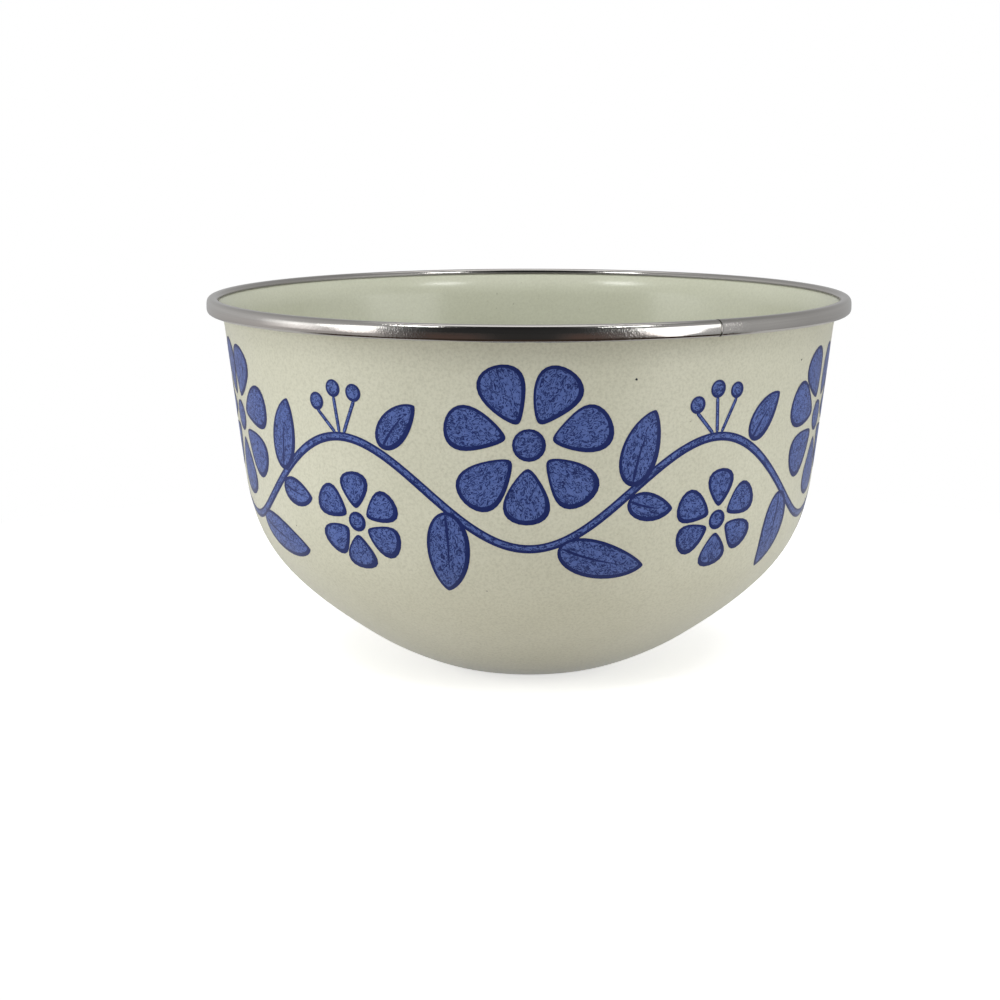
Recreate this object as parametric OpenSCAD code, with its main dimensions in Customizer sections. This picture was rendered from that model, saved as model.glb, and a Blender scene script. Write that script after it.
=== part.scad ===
// Deep enamelled steel mixing bowl with a rolled strip of stainless steel round its lip.
// Millimetres. The bowl stands on z = 0, its axis is Z, and its front faces -Y.
// The sheet is pressed in one piece: a shallow recess under the base, a narrow ring to stand on, a round
// knee, a steep wall, and a lip that turns out and then down. Enamel lies on both faces of the steel, first
// a thin ground coat all over and then a cover coat inside and one outside. The coats meet under the edge
// of the lip, where the trim hides them.
// Every layer is the same outline moved along its normal, so neighbours share one boundary and never overlap.

/* [Overall] */
// Across the trim
rim_d = 235; // [230:0.5:240]
// From the ring that it stands on to the top of the trim
overall_h = 136.2; // [134:0.1:139]
// Lean of the wall from upright, in degrees
wall_lean = 7; // [6:0.1:8]
// How far the trim stands out past the wall, at the trim's lower edge
rim_overhang = 5.8; // [5.7:0.05:6.2]

/* [Body] */
// Height where the straight wall ends and the knee starts
knee_h = 84.2; // [80:0.1:88]
// Reach of the knee's curve along the wall
knee_reach = 32.2; // [28:0.1:36]
// Reach of the knee's curve along the flank
flank_reach = 48.5; // [44:0.1:52]
// Angle of the flank above level, in degrees
flank_angle = 33.4; // [32:0.1:35]
// Radius at the foot of the flank
foot_r = 59.9; // [58:0.1:61]
// Height at the foot of the flank
foot_h = 13.1; // [12.5:0.1:14]
// Reach of the foot's curve along the flank
foot_reach = 12.9; // [11:0.1:15]
// Reach of the foot's curve along the base, which sets how tight the heel is
heel_reach = 3.7; // [3.4:0.1:4.4]

/* [Base] */
// Across the ring that it stands on
base_d = 60; // [57:0.5:62]
// Width of that ring
rest_w = 5; // [4:0.1:6]
// Depth of the recess inside the ring
recess_h = 1; // [0.7:0.1:1.4]
// Width of the slope that leads into the recess
recess_run = 6; // [5:0.1:7]

/* [Sheet and coats] */
// Steel sheet
steel_t = 0.6; // [0.5:0.05:0.7]
// Ground coat, on each face
ground_t = 0.1; // [0.08:0.01:0.12]
// Cover coat, on each face
cover_t = 0.15; // [0.12:0.01:0.2]

/* [Lip] */
// Radius behind the wall, where its top starts to turn out
flare_r = 16; // [13:0.5:18]
// Radius under the lip, where it turns over and down
lip_r = 0.3; // [0.25:0.05:0.4]
// Play between the lip's edge and the bend of the trim
lip_play = 0.05; // [0.03:0.01:0.1]

/* [Trim] */
// Thickness of the strip
trim_t = 0.3; // [0.25:0.05:0.35]
// Width of the strip once it is rolled, seen from above
trim_w = 4.3; // [4.2:0.05:4.5]
// Its height outside once it is rolled
trim_h = 5.7; // [5.6:0.05:5.9]
// Outer radius of its lower bend
trim_low_r = 1.2; // [1.1:0.05:1.3]
// Radius of its face, above and below the upright middle
trim_face_r = 5; // [4.5:0.5:7]
// Height of the upright middle of its face
trim_mid_h = 1; // [0.8:0.1:1.2]
// Space between its inner edge and the enamel under it
trim_play = 0.2; // [0.15:0.01:0.3]
// Space between its lower edge and the wall
trim_space = 0.7; // [0.5:0.05:0.9]
// Space between its two ends
joint_gap = 0.3; // [0.2:0.05:0.5]
// Where its ends meet, in degrees to the right of the front
joint_at = 32.4; // [-180:0.1:180]

/* [Hidden] */
$fn = 180;

// Number of straight runs that draw each curve
recess_steps = 8;
foot_steps = 14;
knee_steps = 28;
flare_steps = 12;
bend_steps = 9;
face_steps = 4;

// Share of the recess's slope that each of its two bends takes
recess_bend_share = 0.45;

// The coats of one face, and the whole wall
coat_t = ground_t + cover_t;
wall_t = steel_t + 2 * coat_t;

// Radii of the base
base_r = base_d / 2;
ring_in_r = base_r - rest_w;
recess_r = ring_in_r - recess_run;
recess_bend = recess_run * recess_bend_share;

// The outside of the wall is a cone, known from the trim's lower edge
trim_r = rim_d / 2;
trim_low_z = overall_h - trim_h;
function wall_r(z) = trim_r - rim_overhang - (trim_low_z - z) * tan(wall_lean);

// The trim's face is a low dome: an upright middle with an arc above it and one below, then a tighter bend
trim_top_r = trim_t + wall_t + lip_r;
trim_top_z = overall_h - trim_top_r;
trim_bend_z = trim_low_z + trim_low_r;
face_c_r = trim_r - trim_face_r;
face_up_z = (trim_top_z + trim_bend_z + trim_mid_h) / 2;
face_low_z = (trim_top_z + trim_bend_z - trim_mid_h) / 2;
face_up_angle = asin((trim_top_z - face_up_z) / (trim_face_r - trim_top_r));
face_low_angle = asin((face_low_z - trim_bend_z) / (trim_face_r - trim_low_r));
lip_c = [face_c_r + (trim_face_r - trim_top_r) * cos(face_up_angle), trim_top_z];
trim_low_c = [face_c_r + (trim_face_r - trim_low_r) * cos(face_low_angle), trim_bend_z];

// The lip bends over inside the trim's upper bend and then hangs straight down
skirt_in_r = lip_c[0] + lip_r;
skirt_mid_r = skirt_in_r + wall_t / 2;
lip_end_z = trim_bend_z + lip_play;

// The wall turns out in a wide bend that runs on into the tight one of the lip
level = [1, 0];
wall_way = [sin(wall_lean), cos(wall_lean)];
wall_out = [cos(wall_lean), -sin(wall_lean)];
from_lip = [wall_r(trim_low_z), trim_low_z] + wall_out * flare_r - lip_c;
flare_run = -from_lip * wall_way - sqrt(pow(from_lip * wall_way, 2) - from_lip * from_lip + pow(flare_r - lip_r, 2));
flare_c = lip_c + from_lip + wall_way * flare_run;
flare_p = flare_c - wall_out * flare_r;
turn = atan2(lip_c[1] - flare_c[1], flare_c[0] - lip_c[0]);

// The two faces of the wide bend, outside at a height and inside at a radius
function flare_out_r(z) = flare_c[0] - sqrt(pow(flare_r, 2) - pow(z - flare_c[1], 2));
function flare_in_z(r) = flare_c[1] + sqrt(pow(flare_r + wall_t, 2) - pow(flare_c[0] - r, 2));

// A curve with four control points, and the way it heads
function curve_at(a, b, c, d, t) = pow(1 - t, 3) * a + 3 * pow(1 - t, 2) * t * b
    + 3 * (1 - t) * pow(t, 2) * c + pow(t, 3) * d;
function curve_way(a, b, c, d, t) = pow(1 - t, 2) * (b - a) + 2 * (1 - t) * t * (c - b) + pow(t, 2) * (d - c);
function unit(v) = v / norm(v);

// Each station of the outline is a point and the way it heads there, without the station it starts from
function curve(a, b, c, d, steps) =
    [for (i = [1:steps]) [curve_at(a, b, c, d, i / steps), unit(curve_way(a, b, c, d, i / steps))]];
function bend(c, r, from, to, steps) =
    [for (i = [1:steps]) let (w = from + (to - from) * i / steps) [c + r * [-cos(w), sin(w)], [sin(w), cos(w)]]];

// The outside face of the bowl, from the middle of the base to the edge of the lip
flank_way = [cos(flank_angle), sin(flank_angle)];
foot_p = [foot_r, foot_h];
knee_p = [wall_r(knee_h), knee_h];

outside_face = concat(
    [[[0, recess_h], level], [[recess_r, recess_h], level]],
    curve([recess_r, recess_h], [recess_r + recess_bend, recess_h], [ring_in_r - recess_bend, 0], [ring_in_r, 0],
        recess_steps),
    [[[base_r, 0], level]],
    curve([base_r, 0], [base_r + heel_reach, 0], foot_p - flank_way * foot_reach, foot_p, foot_steps),
    curve(foot_p, foot_p + flank_way * flank_reach, knee_p - wall_way * knee_reach, knee_p, knee_steps),
    [[flare_p, wall_way]],
    bend(flare_c, flare_r, wall_lean, turn, flare_steps),
    bend(lip_c, lip_r, turn, 90, bend_steps / 3),
    bend(lip_c, lip_r, 90, 180 - face_up_angle, bend_steps),
    bend(lip_c, lip_r, 180 - face_up_angle, 180, bend_steps / 3)
);

// That face moved by a depth into the wall, and carried on down the lip to an end
function layer(depth, end_z) = concat(
    [for (s = outside_face) [s[0][0] - s[1][1] * depth, s[0][1] + s[1][0] * depth]],
    [[skirt_in_r + depth, end_z]]
);
function turned(line) = [for (i = [len(line) - 1:-1:0]) line[i]];

// Where the steel ends, and its ground coat
steel_end_z = lip_end_z + coat_t;
ground_end_z = lip_end_z + cover_t;

// Pressed steel sheet
module steel_shell()
    color("#5d6266")
    rotate_extrude()
    polygon(concat(layer(coat_t, steel_end_z), turned(layer(wall_t - coat_t, steel_end_z))));

// Dark ground coat, all round the steel and over its edge
module ground_coat()
    color("#23263a")
    rotate_extrude()
    polygon(concat(
        layer(cover_t, ground_end_z),
        turned(layer(wall_t - cover_t, ground_end_z)),
        layer(wall_t - coat_t, steel_end_z),
        turned(layer(coat_t, steel_end_z))
    ));

// Cover coat on the outside, under the lip and up inside it
module enamel_outside()
    color("#c4c4b0")
    rotate_extrude()
    polygon(concat(
        layer(0, lip_end_z),
        [[skirt_mid_r, lip_end_z], [skirt_mid_r, ground_end_z]],
        turned(layer(cover_t, ground_end_z))
    ));

// Cover coat on the inside, over the lip and down its outer face
module enamel_inside()
    color("#bcbca6")
    rotate_extrude()
    polygon(concat(
        layer(wall_t - cover_t, ground_end_z),
        [[skirt_mid_r, ground_end_z], [skirt_mid_r, lip_end_z]],
        turned(layer(wall_t, lip_end_z))
    ));

// One face of the rolled strip, from its inner edge over the lip and back under it
trim_in_r = trim_r - trim_w;
trim_in_z = flare_in_z(trim_in_r + trim_t) + trim_play;
trim_edge_r = flare_out_r(trim_low_z + trim_t) + trim_space;
trim_in_c = [trim_in_r + trim_top_r, lip_c[1]];
function trim_face(depth) = concat(
    [[trim_in_r + depth, trim_in_z], [trim_in_r + depth, lip_c[1]]],
    [for (s = bend(trim_in_c, trim_top_r - depth, 0, 90, bend_steps)) s[0]],
    [[lip_c[0], overall_h - depth]],
    [for (s = bend(lip_c, trim_top_r - depth, 90, 180 - face_up_angle, bend_steps)) s[0]],
    [for (s = bend([face_c_r, face_up_z], trim_face_r - depth, 180 - face_up_angle, 180, face_steps)) s[0]],
    [[trim_r - depth, face_low_z]],
    [for (s = bend([face_c_r, face_low_z], trim_face_r - depth, 180, 180 + face_low_angle, face_steps)) s[0]],
    [for (s = bend(trim_low_c, trim_low_r - depth, 180 + face_low_angle, 270, bend_steps)) s[0]],
    [[trim_edge_r, trim_low_z + depth]]
);

// Stainless strip, rolled round the lip, with its two ends a hair apart
module rim_trim() {
    gap_angle = joint_gap / trim_r * 180 / PI;
    color("#b9bcbe")
    rotate([0, 0, joint_at - 90 + gap_angle / 2])
    rotate_extrude(angle = 360 - gap_angle)
    polygon(concat(trim_face(0), turned(trim_face(trim_t))));
}

steel_shell();
ground_coat();
enamel_outside();
enamel_inside();
rim_trim();
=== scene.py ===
# %% [markdown]
# A mixing bowl in enamelled steel
#
# The real bowl is pressed from steel sheet, dipped and sprayed in glass enamel, printed in blue, fired, and
# closed at the lip with a strip of stainless steel that is rolled over it. Its solids come from the
# measured model, in metres, and they stay as they are. This lesson gives each of them its finish, lays the
# print on the wall as real shapes, and ends with a small studio to look at it in.

# %% Load the measured solids
import math
import random

import bpy
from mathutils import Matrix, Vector


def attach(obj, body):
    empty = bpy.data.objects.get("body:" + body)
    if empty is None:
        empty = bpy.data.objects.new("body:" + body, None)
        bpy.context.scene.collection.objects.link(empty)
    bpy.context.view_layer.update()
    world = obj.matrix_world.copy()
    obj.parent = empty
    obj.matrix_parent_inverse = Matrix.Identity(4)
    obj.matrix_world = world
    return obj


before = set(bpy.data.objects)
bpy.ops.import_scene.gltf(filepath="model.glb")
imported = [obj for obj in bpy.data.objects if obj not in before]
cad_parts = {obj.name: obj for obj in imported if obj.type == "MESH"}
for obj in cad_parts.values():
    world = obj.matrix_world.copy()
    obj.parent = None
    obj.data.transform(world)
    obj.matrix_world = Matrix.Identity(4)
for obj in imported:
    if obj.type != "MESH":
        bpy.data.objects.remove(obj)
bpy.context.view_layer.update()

MM = 0.001
print("solids:", ", ".join(sorted(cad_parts)))

# %% [markdown]
# Smooth shading without touching the solids
#
# Pressed metal has no facets, but a measured mesh has them. Each solid could be given more faces, or its
# normals could be averaged where faces meet. The second way leaves the shape as it was measured, so a small
# geometry-nodes group welds the faces together and keeps only the true creases sharp.

# %% Build the smoothing group
WELD = 0.005 * MM
CREASE = math.radians(35)


def build_smoothing():
    tree = bpy.data.node_groups.new("smooth_pressed_metal", "GeometryNodeTree")
    tree.interface.new_socket("Geometry", in_out="INPUT", socket_type="NodeSocketGeometry")
    tree.interface.new_socket("Geometry", in_out="OUTPUT", socket_type="NodeSocketGeometry")
    add, link = tree.nodes.new, tree.links.new
    start, end = add("NodeGroupInput"), add("NodeGroupOutput")
    weld = add("GeometryNodeMergeByDistance")
    weld.inputs["Distance"].default_value = WELD
    angle = add("GeometryNodeInputMeshEdgeAngle")
    crease = add("FunctionNodeCompare")
    crease.data_type, crease.operation = "FLOAT", "GREATER_THAN"
    crease.inputs["B"].default_value = CREASE
    faces = add("GeometryNodeSetShadeSmooth")
    faces.domain = "FACE"
    faces.inputs["Shade Smooth"].default_value = True
    edges = add("GeometryNodeSetShadeSmooth")
    edges.domain = "EDGE"
    edges.inputs["Shade Smooth"].default_value = False
    link(start.outputs[0], weld.inputs["Geometry"])
    link(weld.outputs["Geometry"], faces.inputs["Geometry"])
    link(faces.outputs["Geometry"], edges.inputs["Geometry"])
    link(angle.outputs["Unsigned Angle"], crease.inputs["A"])
    link(crease.outputs["Result"], edges.inputs["Selection"])
    link(edges.outputs["Geometry"], end.inputs[0])
    return tree


smoothing = build_smoothing()


def smooth(piece):
    step = piece.modifiers.new("smooth", "NODES")
    step.node_group = smoothing


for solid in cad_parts.values():
    smooth(solid)
print("smoothed:", len(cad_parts), "solids")

# %% [markdown]
# Tools for the finishes
#
# A finish is a small network of nodes. Written out in full, each node takes three or four lines, so a few
# helpers keep the cells below short. They start a material or a shared group, add a node with its values
# already set, and join sums and blends in one line. Two of them make masks with soft edges, for marks that
# fade. Effects that more than one finish needs become groups, which give out only masks and values. The
# shader itself stays in each material.

# %% Helpers for materials and groups
def node(tree, kind, values=None, **settings):
    made = tree.nodes.new("ShaderNode" + kind)
    for name, value in settings.items():
        setattr(made, name, value)
    for name, value in (values or {}).items():
        made.inputs[name].default_value = value
    return made


def start_material(name):
    material = bpy.data.materials.new(name)
    material.use_nodes = True
    tree = material.node_tree
    return material, tree, tree.nodes["Principled BSDF"]


def start_group(name, inputs, outputs):
    tree = bpy.data.node_groups.new(name, "ShaderNodeTree")
    for title, kind, value in inputs:
        socket = tree.interface.new_socket(title, in_out="INPUT", socket_type="NodeSocket" + kind)
        if value is not None:
            socket.default_value = value
    for title, kind in outputs:
        tree.interface.new_socket(title, in_out="OUTPUT", socket_type="NodeSocket" + kind)
    return tree, tree.nodes.new("NodeGroupInput"), tree.nodes.new("NodeGroupOutput")


def use_group(tree, group, values=None):
    made = tree.nodes.new("ShaderNodeGroup")
    made.node_tree = group
    for name, value in (values or {}).items():
        made.inputs[name].default_value = value
    return made


print("node helpers ready")

# %% Helpers for sums, soft masks and blends
def math_node(tree, operation, a, b=None, c=None, clamp=False):
    made = node(tree, "Math", operation=operation, use_clamp=clamp)
    for socket, value in zip(made.inputs, (a, b, c)):
        if value is None:
            continue
        if isinstance(value, (int, float)):
            socket.default_value = value
        else:
            tree.links.new(value, socket)
    return made.outputs[0]


def rise_over(tree, a, b, width):
    """How far a lies over b, counted in widths and held between 0 and 1."""
    return math_node(tree, "DIVIDE", math_node(tree, "SUBTRACT", a, b), width, clamp=True)


def near_middle(tree, off, half, gone):
    """1 in the middle of a band and 0 from a number of half widths out, with a fade one half width long."""
    return math_node(tree, "SUBTRACT", gone, math_node(tree, "DIVIDE", off, half), clamp=True)


def blend_colours(tree, factor, a, b):
    made = node(tree, "Mix", data_type="RGBA")
    sockets = (made.inputs[0], made.inputs[6], made.inputs[7])
    for socket, value in zip(sockets, (factor, a, b)):
        if isinstance(value, (int, float, tuple)):
            socket.default_value = value
        else:
            tree.links.new(value, socket)
    return made.outputs[2]


def srgb(*levels):
    """A screen colour, three levels from 0 to 255, as the linear colour that a shader takes."""
    shares = [level / 255 for level in levels]
    linear = [s / 12.92 if s <= 0.04045 else ((s + 0.055) / 1.055) ** 2.4 for s in shares]
    return (*linear, 1.0)


print("middle grey on a screen is", round(srgb(128)[0], 3), "to a shader")

# %% [markdown]
# Flecks
#
# Cream enamel is never one colour. Unmelted grains and fine rust leave pinhead flecks, brown and grey, a
# fraction of a millimetre across. Painted dots would repeat, so the flecks come from Voronoi cells: a point
# near the middle of its cell is a fleck, and a second random number decides which cells have one.

# %% Group: flecks
RAGGED_FINER, RAGGED_NUDGE = 2.6, 0.55
SMALLEST_FLECK, FLECK_SPREAD = 0.5, 0.8
FLECK_GONE = 1.3


def build_flecks():
    tree, start, end = start_group(
        "flecks",
        [
            ("Vector", "Vector", None), ("Per metre", "Float", 500.0),
            ("Size", "Float", 0.2), ("Share", "Float", 0.3),
        ],
        [("Mask", "Float")],
    )
    ragged = node(tree, "TexNoise", {"Detail": 2.0})
    tree.links.new(start.outputs["Vector"], ragged.inputs["Vector"])
    finer = math_node(tree, "MULTIPLY", start.outputs["Per metre"], RAGGED_FINER)
    tree.links.new(finer, ragged.inputs["Scale"])
    about_zero = node(tree, "VectorMath", operation="SUBTRACT")
    about_zero.inputs[1].default_value = (0.5, 0.5, 0.5)
    tree.links.new(ragged.outputs["Color"], about_zero.inputs[0])
    nudge = node(tree, "VectorMath", operation="SCALE")
    tree.links.new(about_zero.outputs[0], nudge.inputs[0])
    nudge_by = math_node(tree, "DIVIDE", RAGGED_NUDGE, start.outputs["Per metre"])
    tree.links.new(nudge_by, nudge.inputs["Scale"])
    moved = node(tree, "VectorMath", operation="ADD")
    tree.links.new(start.outputs["Vector"], moved.inputs[0])
    tree.links.new(nudge.outputs[0], moved.inputs[1])
    cells = node(tree, "TexVoronoi", feature="F1", distance="EUCLIDEAN")
    tree.links.new(moved.outputs[0], cells.inputs["Vector"])
    tree.links.new(start.outputs["Per metre"], cells.inputs["Scale"])
    pick = node(tree, "SeparateColor")
    tree.links.new(cells.outputs["Color"], pick.inputs["Color"])
    own = math_node(tree, "MULTIPLY_ADD", pick.outputs["Green"], FLECK_SPREAD, SMALLEST_FLECK)
    reach = math_node(tree, "MULTIPLY", start.outputs["Size"], own)
    dot = near_middle(tree, cells.outputs["Distance"], reach, FLECK_GONE)
    chosen = math_node(tree, "LESS_THAN", pick.outputs["Red"], start.outputs["Share"])
    mask = math_node(tree, "MULTIPLY", dot, chosen, clamp=True)
    tree.links.new(mask, end.inputs["Mask"])
    return tree


flecks = build_flecks()
print("group:", flecks.name)

# %% [markdown]
# Orange peel
#
# Fired enamel flows but never settles quite flat. It keeps a skin of shallow waves, one to three
# millimetres wide and a few microns deep, which only the highlights show. Two sizes of noise, added, are
# enough for the height. The group gives two more values: a tone that drifts over a few centimetres, for
# the colour and the gloss, and a mottle of about a millimetre, which sprayed enamel has.

# %% Group: orange peel
FINE_FASTER = 3.7
TONE_PER_METRE, MOTTLE_PER_METRE = 28.0, 1050.0


def build_peel():
    tree, start, end = start_group(
        "orange_peel",
        [("Vector", "Vector", None), ("Wave per metre", "Float", 450.0), ("Fine share", "Float", 0.3)],
        [("Height", "Float"), ("Tone", "Float"), ("Mottle", "Float")],
    )
    wave = node(tree, "TexNoise", {"Detail": 2.0, "Roughness": 0.45})
    fine = node(tree, "TexNoise", {"Detail": 1.0})
    slow = node(tree, "TexNoise", {"Detail": 3.0, "Scale": TONE_PER_METRE})
    mottle = node(tree, "TexNoise", {"Detail": 3.0, "Roughness": 0.7, "Scale": MOTTLE_PER_METRE})
    for noise_node in (wave, fine, slow, mottle):
        tree.links.new(start.outputs["Vector"], noise_node.inputs["Vector"])
    tree.links.new(start.outputs["Wave per metre"], wave.inputs["Scale"])
    fast = math_node(tree, "MULTIPLY", start.outputs["Wave per metre"], FINE_FASTER)
    tree.links.new(fast, fine.inputs["Scale"])
    small = math_node(tree, "MULTIPLY", fine.outputs["Fac"], start.outputs["Fine share"])
    tree.links.new(math_node(tree, "ADD", wave.outputs["Fac"], small), end.inputs["Height"])
    tree.links.new(slow.outputs["Fac"], end.inputs["Tone"])
    tree.links.new(mottle.outputs["Fac"], end.inputs["Mottle"])
    return tree


peel = build_peel()
print("group:", peel.name)

# %% [markdown]
# Round coordinates
#
# Much of what happens to a bowl happens round its axis: roll lines run along the rim, and wear sits on the
# ring that touches the table. This group turns a place into the turn round the axis, the height and the
# distance out from the axis.

# %% Group: round the axis
def build_round_place():
    tree, start, end = start_group(
        "round_the_axis",
        [("Vector", "Vector", None)],
        [("Turn", "Float"), ("Height", "Float"), ("Out", "Float")],
    )
    part = node(tree, "SeparateXYZ")
    tree.links.new(start.outputs["Vector"], part.inputs["Vector"])
    back = math_node(tree, "MULTIPLY", part.outputs["Y"], -1.0)
    turn = math_node(tree, "ARCTAN2", part.outputs["X"], back)
    square_x = math_node(tree, "MULTIPLY", part.outputs["X"], part.outputs["X"])
    square_y = math_node(tree, "MULTIPLY", part.outputs["Y"], part.outputs["Y"])
    out = math_node(tree, "SQRT", math_node(tree, "ADD", square_x, square_y))
    tree.links.new(turn, end.inputs["Turn"])
    tree.links.new(part.outputs["Z"], end.inputs["Height"])
    tree.links.new(out, end.inputs["Out"])
    return tree


round_place = build_round_place()
print("group:", round_place.name)

# %% [markdown]
# The cream enamel
#
# Inside and outside are the same enamel, sprayed in two passes, and the outside came out a shade warmer.
# It is a satin gloss: glass over opaque pigment, with a soft highlight. One function makes both, so they
# stay related, and each call gives its own colours, gloss and mottle. The outside is also the side that
# the bowl stands on, so its foot is worn.

# %% Wear under the foot
RING_OUT, RING_HALF, RING_GONE = 27.5 * MM, 3.4 * MM, 1.4
WEAR_TOP, WEAR_FADE = 0.35 * MM, 0.3 * MM
PATCHY_GAIN, PATCHY_FROM = 5.0, -1.9
PINS, PIN_START, PIN_HALF, PIN_GONE = 3.0, 0.7, 0.6 * MM, 1.5
PIN_FROM, PIN_FADE = 0.9958, 0.003


def foot_wear(tree, place, mottle):
    """How worn the enamel is where the bowl stands, and three small marks of the pins it was fired on."""
    axis = use_group(tree, round_place)
    tree.links.new(place, axis.inputs["Vector"])
    low = math_node(tree, "SUBTRACT", WEAR_TOP, axis.outputs["Height"])
    low = math_node(tree, "DIVIDE", low, WEAR_FADE)
    off_ring = math_node(tree, "ABSOLUTE", math_node(tree, "SUBTRACT", axis.outputs["Out"], RING_OUT))
    near = near_middle(tree, off_ring, RING_HALF, RING_GONE)
    patchy = math_node(tree, "MULTIPLY_ADD", mottle, PATCHY_GAIN, PATCHY_FROM, clamp=True)
    worn = math_node(tree, "MULTIPLY", math_node(tree, "MULTIPLY", low, near, clamp=True), patchy)
    thirds = math_node(tree, "COSINE", math_node(tree, "MULTIPLY_ADD", axis.outputs["Turn"], PINS, PIN_START))
    at_pin = rise_over(tree, thirds, PIN_FROM, PIN_FADE)
    in_ring = near_middle(tree, off_ring, PIN_HALF, PIN_GONE)
    pin = math_node(tree, "MULTIPLY", math_node(tree, "MULTIPLY", at_pin, in_ring), low, clamp=True)
    return worn, pin


print("worn ring in mm:", [round((RING_OUT + side * RING_HALF) / MM, 1) for side in (-1, 1)])

# %% Make the two cream coats
DARK_GRAIN = srgb(92, 86, 68)
BROWN_GRAIN = srgb(156, 142, 108)
MOTTLE_GREY = srgb(150, 150, 130)
RING_WEAR = srgb(139, 133, 113)
BROWN_STRENGTH, DARK_STRENGTH = 0.30, 0.5
CLOUD_GAIN = 2.0
MOTTLE_MEAN = 0.1
GLOSS_DRIFT = 0.08
WEAR_STRENGTH, WEAR_DULL = 0.7, 0.3
PEEL_DEPTH = 0.02 * MM
ENAMEL_IOR = 1.52


def cream_enamel(name, base, shade, gloss, mottled, standing=False):
    material, tree, shader = start_material(name)
    place = node(tree, "TexCoord").outputs["Object"]
    skin = use_group(tree, peel)
    tree.links.new(place, skin.inputs["Vector"])
    brown = use_group(tree, flecks, {"Per metre": 820.0, "Size": 0.17, "Share": 0.12})
    dark = use_group(tree, flecks, {"Per metre": 300.0, "Size": 0.075, "Share": 0.10})
    for group in (brown, dark):
        tree.links.new(place, group.inputs["Vector"])
    tone, mottle = skin.outputs["Tone"], skin.outputs["Mottle"]
    clouds = math_node(tree, "MULTIPLY_ADD", tone, CLOUD_GAIN, 0.5 - CLOUD_GAIN / 2, clamp=True)
    colour = blend_colours(tree, clouds, base, shade)
    grey = math_node(tree, "MULTIPLY_ADD", mottle, mottled, MOTTLE_MEAN - mottled / 2, clamp=True)
    colour = blend_colours(tree, grey, colour, MOTTLE_GREY)
    brown_mask = math_node(tree, "MULTIPLY", brown.outputs["Mask"], BROWN_STRENGTH)
    colour = blend_colours(tree, brown_mask, colour, BROWN_GRAIN)
    dark_mask = math_node(tree, "MULTIPLY", dark.outputs["Mask"], DARK_STRENGTH)
    colour = blend_colours(tree, dark_mask, colour, DARK_GRAIN)
    dull = math_node(tree, "MULTIPLY_ADD", tone, GLOSS_DRIFT, gloss - GLOSS_DRIFT / 2)
    if standing:
        worn, pin = foot_wear(tree, place, mottle)
        colour = blend_colours(tree, math_node(tree, "MULTIPLY", worn, WEAR_STRENGTH), colour, RING_WEAR)
        colour = blend_colours(tree, pin, colour, DARK_GRAIN)
        dull = math_node(tree, "MULTIPLY_ADD", worn, WEAR_DULL, dull)
    tree.links.new(colour, shader.inputs["Base Color"])
    tree.links.new(dull, shader.inputs["Roughness"])
    bump = node(tree, "Bump", {"Strength": 0.35, "Distance": PEEL_DEPTH})
    tree.links.new(skin.outputs["Height"], bump.inputs["Height"])
    tree.links.new(bump.outputs["Normal"], shader.inputs["Normal"])
    shader.inputs["IOR"].default_value = ENAMEL_IOR
    return material


outside_cream = cream_enamel(
    "enamel_cream_outside", srgb(203, 203, 185), srgb(197, 197, 178), gloss=0.32, mottled=1.3, standing=True
)
inside_cream = cream_enamel(
    "enamel_cream_inside", srgb(197, 199, 181), srgb(192, 194, 175), gloss=0.19, mottled=0.65
)
print("materials:", outside_cream.name, inside_cream.name)

# %% [markdown]
# Steel and ground coat
#
# Both are buried: the steel sheet is pickled grey, and the ground coat is a blue-black glass full of
# bubbles. They show only at the lip's edge under the trim and in a cut model, yet each gets the finish
# that a chip would lay bare.

# %% Make the hidden layers
STEEL_DULL, STEEL_DULL_DRIFT = 0.35, 0.25
GLASS_DULL, BUBBLE_DULL = 0.22, 0.3


def pickled_steel():
    material, tree, shader = start_material("pickled_sheet_steel")
    place = node(tree, "TexCoord").outputs["Object"]
    bloom = node(tree, "TexNoise", {"Scale": 220.0, "Detail": 5.0})
    tree.links.new(place, bloom.inputs["Vector"])
    colour = blend_colours(tree, bloom.outputs["Fac"], srgb(128, 130, 131), srgb(164, 163, 158))
    tree.links.new(colour, shader.inputs["Base Color"])
    rough = math_node(tree, "MULTIPLY_ADD", bloom.outputs["Fac"], STEEL_DULL_DRIFT, STEEL_DULL)
    tree.links.new(rough, shader.inputs["Roughness"])
    shader.inputs["Metallic"].default_value = 1.0
    return material


def ground_glass():
    material, tree, shader = start_material("ground_coat_glass")
    place = node(tree, "TexCoord").outputs["Object"]
    bubbles = use_group(tree, flecks, {"Per metre": 900.0, "Size": 0.3, "Share": 0.5})
    tree.links.new(place, bubbles.inputs["Vector"])
    colour = blend_colours(tree, bubbles.outputs["Mask"], srgb(30, 33, 48), srgb(58, 62, 80))
    tree.links.new(colour, shader.inputs["Base Color"])
    rough = math_node(tree, "MULTIPLY_ADD", bubbles.outputs["Mask"], BUBBLE_DULL, GLASS_DULL)
    tree.links.new(rough, shader.inputs["Roughness"])
    return material


sheet_steel = pickled_steel()
ground_coat = ground_glass()
print("materials:", sheet_steel.name, ground_coat.name)

# %% [markdown]
# The rolled trim
#
# The strip is bright-annealed stainless, drawn through rolls. Along its length it keeps hair-fine lines,
# and its gloss drifts from mirror to satin. The lines follow the rim, so they are drawn in round
# coordinates. Pits left by the rolls make the lights in it ragged, most of all in two dented stretches.
# Where the two ends meet there is a curved seam full of grime, with rough metal to the right of it, and
# inside the bowl a thin painted shadow lies along the strip's lower edge.

# %% Marks along the strip
JOINT_TURN = math.radians(32.4)
TRIM_OUT = 117.5 * MM
FACE_MID, FACE_HALF = 133.3 * MM, 2.8 * MM
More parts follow.
